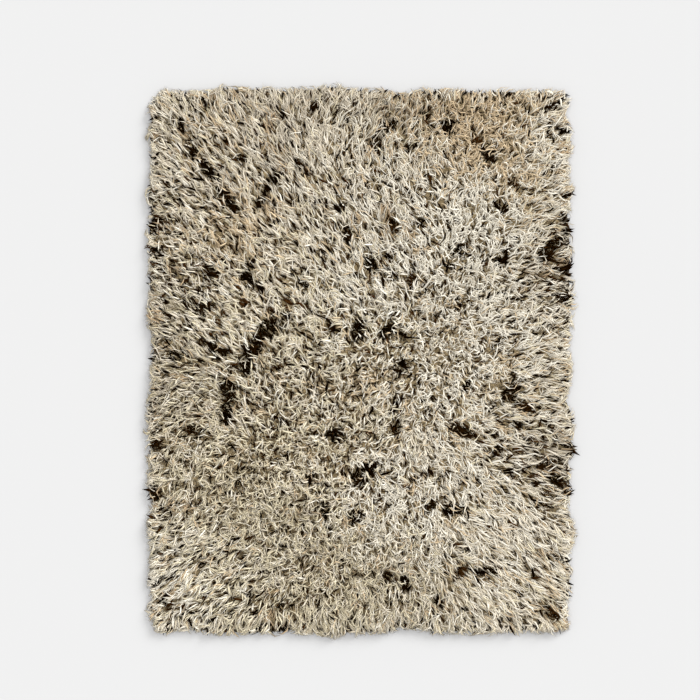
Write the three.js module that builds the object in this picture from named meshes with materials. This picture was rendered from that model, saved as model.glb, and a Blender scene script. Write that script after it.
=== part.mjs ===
// A hand-knotted wool shag rug lying flat: one piece of cloth whose long pile stands on a
// woven ground and falls outwards over all four sides.
// Millimetres, +Z up, +Y along the length. The origin is on the floor under the rug's middle.
import * as THREE from "three";
import { mergeGeometries, mergeVertices } from "three/addons/utils/BufferGeometryUtils.js";

// Driving dimensions, with the tips of the pile included.
const WIDTH = 1384; // corner to corner across the rug
const LEFT_LENGTH = 1794; // corner to corner along the left side
const RIGHT_LENGTH = 1770; // the right side is a little shorter
const CROWN = 44; // top of the standing pile above the floor
const LIP = 9; // thickness where the tips meet the floor
const SHOULDER = 80; // width of the round shoulder between the two
const LEFT_CORNER_RADIUS = 90;
const RIGHT_CORNER_RADIUS = 46;

// How finely the pile's surface is faceted, and how much closer the rows stand at the edges.
const CELLS_ACROSS = 42;
const CELLS_ALONG = 54;
const EDGE_CROWDING = 0.3;

// Places where an edge leaves its straight line: the pile parts there and the edge draws in
// by deep, or a tuft stands out where deep is negative. Sides are measured from the foot
// corner, ends from the left corner.
const FOOT_EDGE = [
  { at: 50, wide: 100, deep: -14 },
  { at: 123, wide: 190, deep: 16 },
  { at: 463, wide: 110, deep: 8 },
  { at: 612, wide: 80, deep: -12 },
  { at: 850, wide: 180, deep: 19 },
  { at: 1264, wide: 130, deep: 7 },
];
const HEAD_EDGE = [
  { at: 117, wide: 180, deep: 19 },
  { at: 195, wide: 110, deep: 11 },
  { at: 450, wide: 130, deep: 5 },
  { at: 599, wide: 150, deep: -10 },
  { at: 737, wide: 120, deep: 6 },
  { at: 829, wide: 150, deep: 14 },
  { at: 1079, wide: 90, deep: 9 },
  { at: 1260, wide: 150, deep: 4 },
];
const LEFT_EDGE = [
  { at: 62, wide: 90, deep: 9 },
  { at: 133, wide: 90, deep: 13 },
  { at: 279, wide: 130, deep: 10 },
  { at: 389, wide: 80, deep: -7 },
  { at: 424, wide: 90, deep: 22 },
  { at: 554, wide: 150, deep: 7 },
  { at: 739, wide: 90, deep: -7 },
  { at: 795, wide: 90, deep: 8 },
  { at: 865, wide: 130, deep: 13 },
  { at: 960, wide: 90, deep: 26 },
  { at: 1095, wide: 120, deep: 6 },
  { at: 1205, wide: 90, deep: 7 },
  { at: 1380, wide: 60, deep: 13 },
  { at: 1430, wide: 80, deep: -5 },
  { at: 1508, wide: 90, deep: 9 },
  { at: 1575, wide: 180, deep: 10 },
  { at: 1680, wide: 60, deep: 12 },
  { at: 1745, wide: 70, deep: 8 },
];
const RIGHT_EDGE = [
  { at: 80, wide: 130, deep: 16 },
  { at: 249, wide: 120, deep: 7 },
  { at: 322, wide: 110, deep: -20 },
  { at: 415, wide: 60, deep: 11 },
  { at: 567, wide: 60, deep: 12 },
  { at: 605, wide: 70, deep: -20 },
  { at: 655, wide: 50, deep: 10 },
  { at: 695, wide: 70, deep: -20 },
  { at: 765, wide: 110, deep: 12 },
  { at: 936, wide: 65, deep: 10 },
  { at: 1089, wide: 70, deep: -10 },
  { at: 1371, wide: 80, deep: 10 },
  { at: 1440, wide: 80, deep: -10 },
  { at: 1490, wide: 60, deep: 9 },
  { at: 1536, wide: 70, deep: 9 },
  { at: 1685, wide: 90, deep: 25 },
];

// Long shallow troughs across the rug, where the pile parts.
const PARTINGS = [
  { fromX: 140, toX: 610, y: 230, wide: 120, deep: 6 },
  { fromX: -200, toX: 220, y: -379, wide: 120, deep: 6 },
];

// Low round swells in the pile, which never stands quite even.
const SWELLS = [
  { x: -380, y: 480, reach: 420, rise: 4 },
  { x: 330, y: 640, reach: 360, rise: 3 },
  { x: 60, y: -40, reach: 460, rise: 4 },
  { x: -400, y: -560, reach: 400, rise: -4 },
  { x: 420, y: -520, reach: 380, rise: 3 },
];

// A smooth hump, 1 in the middle and 0 from halfWidth outwards.
function hump(distance, halfWidth) {
  const share = Math.min(Math.abs(distance) / halfWidth, 1);
  return Math.cos((share * Math.PI) / 2) ** 2;
}

// How far a round corner draws an edge in, at a distance along the edge from its corner.
function cornerDepth(distance, radius) {
  const reach = Math.max(radius - distance, 0);
  return radius - Math.sqrt(radius ** 2 - reach ** 2);
}

// One edge of the outline, from corner to corner, as a function of the share of its length.
// It starts and ends halfway round its corners.
function edgeLine(from, to, inward, edge) {
  const run = to.point.clone().sub(from.point);
  const length = run.length();
  const along = run.normalize();
  const halfArc = 1 - Math.SQRT1_2;
  return (share) => {
    const first = from.radius * halfArc;
    const last = length - to.radius * halfArc;
    const at = THREE.MathUtils.lerp(first, last, share);
    const corners = cornerDepth(at, from.radius) + cornerDepth(length - at, to.radius);
    const uneven = edge.reduce((sum, row) => sum + row.deep * hump(at - row.at, row.wide / 2), 0);
    return from.point
      .clone()
      .addScaledVector(along, at)
      .addScaledVector(inward, corners + uneven);
  };
}

function corner(x, y, radius) {
  return { point: new THREE.Vector2(x, y), radius };
}

const footLeft = corner(-WIDTH / 2, -LEFT_LENGTH / 2, LEFT_CORNER_RADIUS);
const footRight = corner(WIDTH / 2, -RIGHT_LENGTH / 2, RIGHT_CORNER_RADIUS);
const headLeft = corner(-WIDTH / 2, LEFT_LENGTH / 2, LEFT_CORNER_RADIUS);
const headRight = corner(WIDTH / 2, RIGHT_LENGTH / 2, RIGHT_CORNER_RADIUS);
const foot = edgeLine(footLeft, footRight, new THREE.Vector2(0, 1), FOOT_EDGE);
const head = edgeLine(headLeft, headRight, new THREE.Vector2(0, -1), HEAD_EDGE);
const left = edgeLine(footLeft, headLeft, new THREE.Vector2(1, 0), LEFT_EDGE);
const right = edgeLine(footRight, headRight, new THREE.Vector2(-1, 0), RIGHT_EDGE);

// A point of the rug in plan, u across and v along, blended between the four edges.
function planPoint(u, v) {
  const ends = foot(u).lerp(head(u), v);
  const sides = left(v).lerp(right(v), u);
  const footCorners = foot(0).lerp(foot(1), u);
  const headCorners = head(0).lerp(head(1), u);
  return ends.add(sides).sub(footCorners.lerp(headCorners, v));
}

// Even steps from 0 to 1 drawn closer together at both ends.
function crowded(step) {
  return step - (EDGE_CROWDING * Math.sin(2 * Math.PI * step)) / (2 * Math.PI);
}

// How far the top of the pile lies above or below its crown at a point.
function relief({ x, y }) {
  const swells = SWELLS.reduce(
    (sum, swell) => sum + swell.rise * hump(Math.hypot(x - swell.x, y - swell.y), swell.reach),
    0,
  );
  return PARTINGS.reduce((sum, { fromX, toX, y: middle, wide, deep }) => {
    const pastEnd = x - THREE.MathUtils.clamp(x, fromX, toX);
    return sum - deep * hump(Math.hypot(pastEnd, y - middle), wide / 2);
  }, swells);
}

// Height of the pile: a thin lip at the edge, a round shoulder, then the uneven crown.
function pileHeight(u, v, point) {
  const inset = Math.min(u * WIDTH, (1 - u) * WIDTH, v * LEFT_LENGTH, (1 - v) * LEFT_LENGTH);
  const unrisen = 1 - Math.min(inset / SHOULDER, 1);
  return LIP + (CROWN + relief(point) - LIP) * Math.sqrt(1 - unrisen ** 2);
}

// A flat grid of facets whose every point is moved to where place puts its u and v.
function shapedGrid(columns, rows, place) {
  const grid = new THREE.PlaneGeometry(1, 1, columns, rows);
  const { position, uv } = grid.attributes;
  for (let i = 0; i < position.count; i += 1) {
    position.setXYZ(i, ...place(uv.getX(i), uv.getY(i)));
  }
  return grid;
}

// The rug's outline in plan, anticlockwise, through every grid point on its edges.
function outlinePoints() {
  const across = Array.from({ length: CELLS_ACROSS }, (_, i) => crowded(i / CELLS_ACROSS));
  const along = Array.from({ length: CELLS_ALONG }, (_, i) => crowded(i / CELLS_ALONG));
  return [
    ...across.map((u) => planPoint(u, 0)),
    ...along.map((v) => planPoint(1, v)),
    ...across.map((u) => planPoint(1 - u, 1)),
    ...along.map((v) => planPoint(0, 1 - v)),
  ];
}

// The rug as one closed solid: the pile's surface, its edge all round and the flat underside.
function rugGeometry() {
  const outline = outlinePoints();
  const pile = shapedGrid(CELLS_ACROSS, CELLS_ALONG, (across, along) => {
    const u = crowded(across);
    const v = crowded(along);
    const point = planPoint(u, v);
    return [point.x, point.y, pileHeight(u, v, point)];
  });
  const edge = shapedGrid(outline.length, 1, (around, up) => {
    const point = outline[Math.round(around * outline.length) % outline.length];
    return [point.x, point.y, up * LIP];
  });
  const underside = new THREE.ShapeGeometry(new THREE.Shape(outline));
  underside.index.array.reverse();

  const joined = mergeGeometries([pile, edge, underside]);
  joined.deleteAttribute("normal");
  joined.deleteAttribute("uv");
  const rug = mergeVertices(joined, 0.01);
  rug.computeBoundingBox();
  const middle = rug.boundingBox.getCenter(new THREE.Vector3());
  rug.translate(-middle.x, -middle.y, 0);
  rug.computeVertexNormals();
  return rug;
}

const wool = new THREE.MeshStandardMaterial({ color: 0xd3c8b2, roughness: 0.95, metalness: 0 });
const rug = new THREE.Mesh(rugGeometry(), wool);
rug.name = "rug";

const shagRug = new THREE.Group();
shagRug.add(rug);

export default shagRug;
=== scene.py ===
"""A hand-knotted wool shag rug: a woven ground, and a deep pile of wool locks knotted into it."""

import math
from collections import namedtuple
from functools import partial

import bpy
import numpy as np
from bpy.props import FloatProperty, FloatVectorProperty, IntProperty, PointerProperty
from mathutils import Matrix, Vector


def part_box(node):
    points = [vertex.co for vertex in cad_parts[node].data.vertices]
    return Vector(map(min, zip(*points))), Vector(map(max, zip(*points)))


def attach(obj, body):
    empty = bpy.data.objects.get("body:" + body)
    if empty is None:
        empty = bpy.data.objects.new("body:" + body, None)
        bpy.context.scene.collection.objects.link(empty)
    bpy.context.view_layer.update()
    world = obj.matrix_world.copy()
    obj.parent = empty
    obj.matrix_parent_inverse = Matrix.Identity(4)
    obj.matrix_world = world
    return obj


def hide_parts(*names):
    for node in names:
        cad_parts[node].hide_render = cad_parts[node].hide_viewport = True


bl_info = {
    "name": "Wool Shag Rug",
    "version": (1, 0, 0),
    "blender": (4, 5, 0),
    "location": "View3D > Sidebar > Rug",
    "description": "Weaves the ground of a shag rug, knots its pile and sets the stage",
    "category": "Object",
}

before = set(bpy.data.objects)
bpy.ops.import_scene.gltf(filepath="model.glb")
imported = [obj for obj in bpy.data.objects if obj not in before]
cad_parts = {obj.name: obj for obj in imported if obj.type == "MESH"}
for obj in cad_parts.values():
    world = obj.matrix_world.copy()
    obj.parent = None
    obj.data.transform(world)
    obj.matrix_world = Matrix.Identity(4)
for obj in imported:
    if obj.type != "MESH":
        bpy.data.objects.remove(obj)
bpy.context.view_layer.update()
RUG = "rug"
LOW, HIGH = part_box(RUG)
SIZE = HIGH - LOW
CROWN = HIGH.z
LIP = 0.009
TURN = 2 * math.pi

# The pile as it is combed: where the tips of the locks point (degrees anticlockwise from +X),
# how flat they lie (0 to 1) and how far neighbours stray from each other (degrees).
Stroke = namedtuple("Stroke", "x y heading lie tangle")
COMBING = [Stroke(*row) for row in [
    (-0.52, 0.78, 125, 0.8, 14),
    (-0.29, 0.78, 118, 0.77, 16),
    (-0.05, 0.78, 60, 0.69, 24),
    (0.13, 0.75, 70, 0.49, 35),
    (0.36, 0.76, 75, 0.34, 60),
    (0.5, 0.7, 40, 0.34, 60),
    (0.64, 0.75, 25, 0.96, 14),
    (-0.55, 0.56, 150, 0.69, 24),
    (-0.39, 0.59, 132, 0.88, 14),
    (-0.19, 0.59, 125, 0.84, 14),
    (0, 0.56, 120, 0.65, 28),
    (0.19, 0.56, 118, 0.77, 18),
    (0.39, 0.56, 110, 0.49, 40),
    (0.6, 0.54, 15, 0.8, 18),
    (-0.52, 0.36, 140, 0.53, 36),
    (-0.29, 0.33, 128, 0.69, 24),
    (-0.1, 0.36, 125, 0.73, 22),
    (0.06, 0.26, 120, 0.73, 22),
    (0.23, 0.36, 135, 0.49, 40),
    (0.42, 0.3, 20, 0.49, 40),
    (0.62, 0.33, 5, 0.8, 22),
    (-0.49, 0.1, 140, 0.88, 14),
    (-0.26, 0.07, 130, 0.53, 40),
    (-0.03, 0.13, 130, 0.61, 32),
    (0.16, 0.1, 130, 0.45, 48),
    (0.45, 0.1, 30, 0.61, 32),
    (0.63, -0.06, 12, 0.8, 20),
    (-0.58, -0.16, 200, 0.65, 38),
    (-0.39, -0.19, 128, 0.77, 24),
    (-0.16, -0.12, 120, 0.49, 48),
    (0.1, -0.09, 240, 0.65, 28),
    (0.29, -0.06, 300, 0.49, 48),
    (0.45, -0.21, 350, 0.77, 22),
    (0.62, -0.32, 0, 0.84, 22),
    (-0.52, -0.42, 230, 0.42, 60),
    (-0.26, -0.42, 250, 0.42, 60),
    (0, -0.45, 270, 0.45, 55),
    (0.26, -0.38, 310, 0.61, 34),
    (0.49, -0.51, 318, 0.92, 12),
    (-0.58, -0.64, 220, 0.92, 12),
    (-0.39, -0.68, 182, 0.77, 20),
    (-0.13, -0.64, 270, 0.42, 60),
    (0.13, -0.68, 285, 0.53, 45),
    (0.36, -0.71, 322, 0.8, 18),
    (0.58, -0.74, 325, 0.92, 14),
    (-0.42, -0.82, 236, 0.8, 18),
    (-0.13, -0.82, 290, 0.65, 28),
    (0.13, -0.82, 262, 0.61, 32),
]]
COMB_REACH = 0.13

# Patches where one yarn is knotted in more than elsewhere, and the share of locks it takes.
Tint = namedtuple("Tint", "x y reach yarn share")
TINTS = [Tint(*row) for row in [
    (0.27, 0.45, 0.18, "ivory", 0.6),
    (0.3, 0.42, 0.12, "ivory", 0.6),
    (-0.42, 0.66, 0.25, "stone", 0.35),
    (-0.1, 0.84, 0.25, "stone", 0.4),
    (0.43, 0.1, 0.18, "ivory", 0.9),
    (0.08, 0.62, 0.2, "ivory", 0.4),
    (0.1, 0.09, 0.16, "ivory", 0.5),
    (-0.56, 0.14, 0.36, "stone", 0.25),
    (-0.4, 0, 0.4, "oatmeal", 0.3),
    (0.34, 0.28, 0.32, "ivory", 0.52),
    (0.38, 0.74, 0.2, "tan", 0.92),
    (0.5, 0.58, 0.12, "tan", 0.25),
    (0.15, 0.82, 0.08, "tan", 0.4),
    (-0.42, 0.43, 0.1, "tan", 0.55),
    (-0.49, 0.73, 0.09, "tan", 0.2),
    (-0.3, 0.5, 0.04, "tan", 0.6),
    (0.01, -0.08, 0.06, "tan", 0.5),
    (0.4, -0.03, 0.22, "tan", 0.14),
    (-0.14, 0.74, 0.24, "stone", 0.25),
    (0.15, 0.52, 0.2, "stone", 0.25),
    (-0.36, -0.64, 0.32, "oatmeal", 0.4),
    (-0.08, -0.77, 0.25, "oatmeal", 0.45),
    (-0.42, -0.38, 0.25, "oatmeal", 0.35),
    (0.4, -0.5, 0.26, "ivory", 0.5),
    (-0.63, -0.72, 0.14, "ivory", 0.55),
    (0.2, 0.46, 0.18, "ivory", 0.25),
    (0.63, 0.72, 0.13, "ivory", 0.55),
    (0.36, 0.45, 0.16, "ivory", 0.6),
    (0.25, 0.38, 0.16, "ivory", 0.6),
    (0.27, -0.1, 0.14, "ivory", 0.5),
    (0.28, -0.27, 0.14, "ivory", 0.15),
    (0.1, -0.44, 0.16, "ivory", 0.8),
    (-0.08, 0.27, 0.12, "ivory", 0.5),
    (0.44, 0.46, 0.12, "ivory", 0.85),
    (0.64, 0.3, 0.11, "stone", 0.65),
    (0.64, -0.33, 0.12, "stone", 0.6),
    (-0.66, 0.3, 0.08, "dark", 0.12),
    (0.65, 0.33, 0.11, "dark", 0.16),
    (0.65, -0.34, 0.12, "dark", 0.2),
]]

# Where the wool's tone is raised (above 0) or lowered (below 0) from the rest.
ToneShift = namedtuple("ToneShift", "x y reach tone")
TONE_SHIFTS = [ToneShift(*row) for row in [
    (0.34, 0.45, 0.22, 0.4),
    (-0.25, 0.27, 0.18, 0.6),
    (0.2, -0.42, 0.14, 0.36),
    (0.27, -0.08, 0.12, 0.58),
    (-0.22, -0.28, 0.12, 0.42),
    (-0.52, -0.44, 0.14, -0.06),
    (-0.18, -0.62, 0.18, -0.5),
    (0.34, 0.18, 0.24, 0.32),
    (0.46, 0.04, 0.18, 0.28),
    (0.48, 0.62, 0.18, 0.34),
    (0.64, 0.7, 0.14, 0.32),
    (0.4, -0.42, 0.16, 0.36),
    (-0.08, 0.68, 0.12, 0.24),
    (0.08, 0.46, 0.14, -0.48),
    (-0.22, 0.82, 0.2, -0.34),
    (0.09, 0.1, 0.12, 0.7),
    (-0.25, 0.05, 0.12, 0.14),
    (0.18, -0.62, 0.24, -0.44),
    (-0.6, -0.62, 0.12, 0.12),
    (-0.62, -0.82, 0.12, 0.18),
    (0.62, -0.82, 0.12, 0.25),
    (0.11, 0.82, 0.14, -0.62),
    (-0.08, 0.26, 0.16, 0.36),
    (-0.1, -0.24, 0.18, 0.26),
    (-0.63, 0.1, 0.2, -0.22),
    (-0.6, -0.14, 0.2, -0.24),
    (-0.42, -0.1, 0.14, -0.18),
    (-0.42, 0.48, 0.18, -0.24),
    (-0.42, -0.44, 0.14, -0.42),
    (0.66, 0.28, 0.14, 0.14),
    (0.66, -0.28, 0.14, -0.16),
    (0, -0.74, 0.3, -0.08),
    (-0.08, 0.62, 0.12, 0.4),
    (0.44, 0.46, 0.12, 0.28),
    (0.28, -0.27, 0.14, 0.16),
    (-0.25, -0.45, 0.12, -0.16),
    (0.09, -0.44, 0.12, 0.8),
    (0.45, 0.82, 0.14, 0.6),
    (-0.6, 0.8, 0.12, -0.12),
    (-0.26, 0.64, 0.12, -0.14),
    (0.64, 0.45, 0.1, -0.32),
    (-0.64, 0.28, 0.1, 0.04),
    (-0.42, 0.25, 0.14, 0.42),
    (-0.06, 0.1, 0.12, 0.12),
    (0.1, -0.08, 0.1, 0.16),
    (-0.08, -0.44, 0.1, 0.14),
    (0.62, -0.62, 0.2, 0.1),
    (-0.42, -0.82, 0.12, 0.32),
]]

# The main dark flecks: their middle, size, turn (degrees from +X) and how brown they are.
Fleck = namedtuple("Fleck", "x y long wide turn brown")
FLECKS = [Fleck(*row) for row in [
    (-0.58, 0.76, 0.05, 0.02, 95, 0),
    (-0.55, 0.69, 0.05, 0.025, 115, 0.1),
    (-0.5, 0.62, 0.07, 0.03, 130, 0),
    (-0.43, 0.52, 0.09, 0.024, 130, 0.1),
    (-0.32, 0.53, 0.07, 0.02, 62, 0),
    (-0.28, 0.6, 0.05, 0.02, 30, 0),
    (-0.39, 0.66, 0.03, 0.02, 0, 0.1),
    (-0.26, 0.8, 0.04, 0.02, 120, 0),
    (-0.15, 0.82, 0.04, 0.03, 120, 0.2),
    (-0.19, 0.62, 0.06, 0.02, 125, 0.2),
    (-0.07, 0.5, 0.035, 0.022, 20, 0),
    (-0.05, 0.41, 0.05, 0.03, 110, 0.1),
    (0.05, 0.7, 0.07, 0.025, 100, 0.2),
    (0.09, 0.76, 0.07, 0.025, 25, 0.1),
    (0.16, 0.69, 0.04, 0.02, 30, 0),
    (0.28, 0.76, 0.05, 0.032, 120, 0),
    (0.37, 0.72, 0.05, 0.02, 135, 0.8),
    (0.41, 0.67, 0.06, 0.025, 130, 0.1),
    (0.49, 0.57, 0.05, 0.02, 120, 0.4),
    (0.45, 0.5, 0.05, 0.025, 145, 0.1),
    (0.19, 0.44, 0.05, 0.018, 75, 0),
    (0.32, 0.36, 0.042, 0.028, 90, 0),
    (0.1, 0.44, 0.06, 0.03, 120, 0.3),
    (0.28, 0.31, 0.035, 0.02, 150, 0),
    (0.45, 0.33, 0.045, 0.018, 0, 0),
    (0.03, 0.31, 0.06, 0.032, 130, 0),
    (0.16, 0.26, 0.04, 0.025, 60, 0.3),
    (-0.36, 0.32, 0.035, 0.02, 90, 0),
    (-0.37, 0.28, 0.05, 0.02, 45, 0),
    (-0.49, 0.29, 0.045, 0.025, 130, 0.1),
    (-0.33, 0.24, 0.045, 0.02, 130, 0),
    (-0.19, 0.25, 0.035, 0.018, 135, 0),
    (-0.3, 0.11, 0.06, 0.05, 45, 0.1),
    (-0.35, 0.05, 0.085, 0.048, 60, 0.1),
    (-0.37, -0.01, 0.05, 0.028, 80, 0),
    (-0.48, 0.05, 0.09, 0.018, 150, 0.1),
    (-0.51, 0.18, 0.05, 0.02, 30, 0.2),
    (-0.38, 0.19, 0.03, 0.022, 90, 0.9),
    (-0.24, 0.19, 0.03, 0.016, 90, 1),
    (-0.24, 0.15, 0.04, 0.02, 60, 0),
    (-0.43, -0.09, 0.08, 0.04, 115, 0.1),
    (-0.44, -0.16, 0.08, 0.03, 95, 0),
    (-0.61, 0.02, 0.03, 0.028, 0, 0),
    (-0.1, 0.12, 0.05, 0.02, 120, 0.2),
    (-0.01, 0.1, 0.07, 0.036, 90, 0),
    (0.08, 0.09, 0.06, 0.03, 45, 0),
    (0.14, 0.08, 0.04, 0.02, 150, 0.1),
    (0.32, 0.18, 0.04, 0.02, 30, 0.1),
    (0.45, 0.07, 0.05, 0.014, 15, 0.1),
    (0.12, -0.03, 0.06, 0.025, 60, 0),
    (0.11, -0.14, 0.045, 0.02, 60, 0),
    (0.34, -0.08, 0.04, 0.018, 45, 0),
    (0.48, -0.1, 0.06, 0.036, 30, 0.1),
    (0.53, -0.15, 0.06, 0.025, 150, 0.25),
    (0.33, -0.23, 0.09, 0.025, 160, 0.2),
    (0.11, -0.21, 0.036, 0.026, 60, 0.1),
    (-0.08, -0.24, 0.06, 0.036, 150, 0),
    (0.44, -0.29, 0.032, 0.026, 60, 0.1),
    (-0.55, -0.22, 0.04, 0.026, 20, 0.3),
    (0.01, -0.36, 0.085, 0.05, 45, 0),
    (-0.16, -0.38, 0.032, 0.026, 0, 0.1),
    (0.19, -0.37, 0.08, 0.014, 15, 0.2),
    (-0.12, -0.48, 0.05, 0.022, 100, 0),
    (-0.02, -0.5, 0.045, 0.03, 60, 0),
    (0.22, -0.47, 0.06, 0.02, 45, 0.2),
    (0.3, -0.48, 0.08, 0.026, 0, 0),
    (0.4, -0.68, 0.08, 0.026, 0, 0),
    (0.32, -0.68, 0.06, 0.018, 45, 0.6),
    (0.14, -0.72, 0.05, 0.024, 100, 0),
    (0.08, -0.7, 0.04, 0.022, 60, 0.1),
    (0.25, -0.78, 0.036, 0.024, 120, 0),
    (0.61, -0.81, 0.06, 0.022, 145, 0.5),
    (-0.62, -0.79, 0.032, 0.022, 60, 0.5),
    (-0.25, -0.86, 0.036, 0.026, 0, 0),
    (0.63, 0.38, 0.06, 0.032, 20, 0.2),
    (0.6, 0.34, 0.05, 0.03, 150, 0.2),
    (0.67, 0.3, 0.045, 0.045, 0, 0.15),
    (0.65, 0.21, 0.05, 0.026, 0, 0.2),
    (0.61, 0.82, 0.05, 0.018, 30, 0.1),
    (0.65, 0.85, 0.04, 0.014, 40, 0),
    (0.64, 0.75, 0.07, 0.012, 160, 0),
    (0.67, 0.54, 0.036, 0.018, 20, 0.1),
    (0.67, 0.46, 0.04, 0.016, 0, 0),
    (0.68, -0.28, 0.045, 0.036, 0, 0.2),
    (0.6, -0.33, 0.06, 0.026, 20, 0.25),
    (0.63, -0.38, 0.06, 0.032, 150, 0.15),
    (0.67, -0.42, 0.045, 0.036, 0, 0.25),
    (-0.67, 0.44, 0.045, 0.036, 0, 0.1),
    (-0.66, -0.27, 0.045, 0.036, 0, 0.25),
    (-0.67, -0.43, 0.045, 0.036, 0, 0.3),
]]

# Where loose dark gaps are commoner or rarer than elsewhere.
Speckle = namedtuple("Speckle", "x y reach more")
SPECKLES = [Speckle(*row) for row in [
    (-0.36, 0.02, 0.34, 0.5),
    (0.05, -0.1, 0.35, 0.3),
    (0.2, -0.75, 0.45, -0.5),
    (-0.4, -0.62, 0.25, -0.3),
    (-0.44, -0.32, 0.18, 0.4),
    (-0.36, -0.82, 0.18, 0.5),
    (-0.25, -0.08, 0.12, 0.4),
    (0.34, -0.28, 0.16, 0.5),
    (0.5, -0.55, 0.25, -0.4),
    (0.45, 0.1, 0.2, -0.4),
    (0.62, 0.7, 0.2, -0.4),
    (0.44, 0.46, 0.1, -0.6),
    (-0.08, 0.63, 0.1, -0.5),
    (-0.42, 0.46, 0.1, 0.6),
    (-0.66, 0.3, 0.12, 0.8),
    (0.66, 0.3, 0.14, 1),
    (0.64, -0.3, 0.18, 0.9),
]]

# One lock of wool: where its rings are and how wide they are, as shares of its length and width.
Ring = namedtuple("Ring", "at wide")
LOCK_RINGS = [Ring(0, 0.8), Ring(0.38, 1.0), Ring(0.70, 0.85), Ring(1, 0)]
SHORT_RINGS = [Ring(0, 0.6), Ring(0.5, 1.0), Ring(1, 0)]
LOCK_SIDES = 3
LOCK_FLATNESS = 0.4
LOCK_ROLL = 0.45
Lock = namedtuple("Lock", "rings points faces chart")

# The yarns: share of the locks, deepest and lightest screen colour, sheen and streaks of fibre.
Yarn = namedtuple("Yarn", "name share deep light sheen streaks", defaults=(0.15, 0.45))
YARNS = [
    Yarn("cream", 0.30, (176, 162, 134), (242, 232, 212)),
    Yarn("ivory", 0.25, (206, 195, 172), (246, 241, 228)),
    Yarn("oatmeal", 0.18, (156, 141, 108), (237, 227, 199)),
    Yarn("stone", 0.20, (156, 144, 123), (236, 226, 207)),
    Yarn("tan", 0.07, (158, 133, 100), (224, 203, 168)),
    Yarn("dark", 0.00, (4, 2, 0), (76, 47, 20), sheen=0.0, streaks=0.06),
]
YARN_NAMES = [yarn.name for yarn in YARNS]
SHADES = ("deep", "light")

# The yarn map has a column for each tone, in which a lock's root is low and its tip high.
YARN_MAP = "OFBake"
TONES = 32
COLUMN_MARGIN = 0.1
END_MARGIN = 0.02
ROOT_CHART = [(0.1, 0), (0.9, 0), (0.5, 0.04)]
MOST_TRIANGLES = 199_000

# Distances that count as none, what keeps a sum from being 0, and the floor's clearance.
TOUCHING = 1e-5
TINY = 1e-6
NEVER_ZERO = 1e-9
CLEARANCE = 0.0004


def srgb(red, green, blue):
    """A screen colour from 0 to 255 as the linear colour that shaders use."""
    shares = [value / 255 for value in (red, green, blue)]
    return tuple(v / 12.92 if v < 0.04045 else ((v + 0.055) / 1.055) ** 2.4 for v in shares)


def setting(name, description, default, kind=FloatProperty, **limits):
    """A value that a user can change."""
    return kind(name=name, description=description, default=default, **limits)


amount = partial(setting, min=0)
number = partial(setting, kind=IntProperty, min=0)
length = partial(setting, unit="LENGTH")
angle = partial(setting, subtype="ANGLE")
colour = partial(setting, kind=FloatVectorProperty, subtype="COLOR", size=3, min=0, max=1)


def yarn_colours():
    """The deepest and the lightest colour of every yarn, as properties."""
    return {
        f"{yarn.name}_{shade}": colour(
            f"{yarn.name.title()}, {shade}",
            f"{shade.title()}est {yarn.name} wool",
            srgb(*getattr(yarn, shade)),
        )
        for yarn in YARNS
        for shade in SHADES
    }


class RUG_PG_ground(bpy.types.PropertyGroup):
    """Sizes and colours of the woven ground"""

    thickness: length("Thickness", "Thickness of the woven ground", 0.006)
    overhang: length("Overhang", "How far the pile falls past the ground's edge", 0.018)
    rib_pitch: length("Rib pitch", "Distance between the weft ribs", 0.010)
    rib_depth: length("Rib depth", "Depth of the hollows between the ribs", 0.0012)
    warp_pitch: length("Warp pitch", "Distance between the warp threads", 0.007)
    # The deep weft colour goes in the hollows of the weave as painted shade.
    weft_deep: colour("Weft, deep", "Wool in the hollows of the weave", srgb(92, 76, 58))
    weft_light: colour("Weft, light", "Light wool of the weft", srgb(176, 158, 128))


class RUG_PG_pile(bpy.types.PropertyGroup):
    """Sizes and colours of the knotted pile"""

    seed: number("Seed", "Start of every chance value", 7)
    knot_pitch: length("Knot pitch", "Distance between knots in a row", 0.0165)
    row_pitch: length("Row pitch", "Distance between rows of knots", 0.0165)
    locks: number("Locks", "Locks of wool in a knot", 6)
    lock_length: length("Lock length", "Length of a lock of wool", 0.070)
    lock_width: length("Lock width", "Width of a lock at its fullest", 0.0051)
    tuft_spread: length("Tuft spread", "How far the locks of a knot spread sideways", 0.0038)
    knot_curl: amount("Knot curl", "How far the locks of a knot turn together", 0.6)
    lock_curl: amount("Lock curl", "How far a lock turns on its own", 0.5)
    crimp: length("Crimp", "How far a lock waves to each side", 0.0048)
    one_yarn: amount("One yarn", "Share of locks that are in their knot's yarn", 0.6)
    single_darks: amount("Single darks", "Share of lone dark locks", 0.015)
    strays: amount("Strays", "Share of locks that leave their tuft", 0.08)
    loose_gaps: number("Loose gaps", "Places tried for gaps outside the flecks", 10600)
    loose_radius: length("Loose radius", "Half width of a loose gap", 0.0017)
    fleck_radius: length("Fleck radius", "Half width of a gap in a fleck", 0.0021)
    fleck_fill: length("Fleck fill", "Distance between the gaps of a fleck", 0.0074)
    crossing: amount("Crossing", "Share of locks that cross gaps", 0.14)
    shoulder: length("Shoulder", "Width of the pile's round shoulder at the edge", 0.08)
    # Painted shade: the border's wool is painted darker where the pile slopes down to the edge; its
    # locks are narrower too.
    painted_shade_band: length("Worn band", "Width of the border whose wool is worn darker", 0.16)
    edge_band: length("Edge band", "Width of the border whose pile falls outwards", 0.060)
    felt_height: amount("Felt height", "Height of the matted wool, as a share of the pile's", 0.36)
    # Matted wool, its colours darker than the yarns' with painted shade of the deep pile.
    felt_deep: colour("Felt, deep", "Deepest matted wool", srgb(50, 38, 21))
    felt_light: colour("Felt, light", "Lightest matted wool", srgb(172, 152, 114))


RUG_PG_pile.__annotations__.update(yarn_colours())


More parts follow.
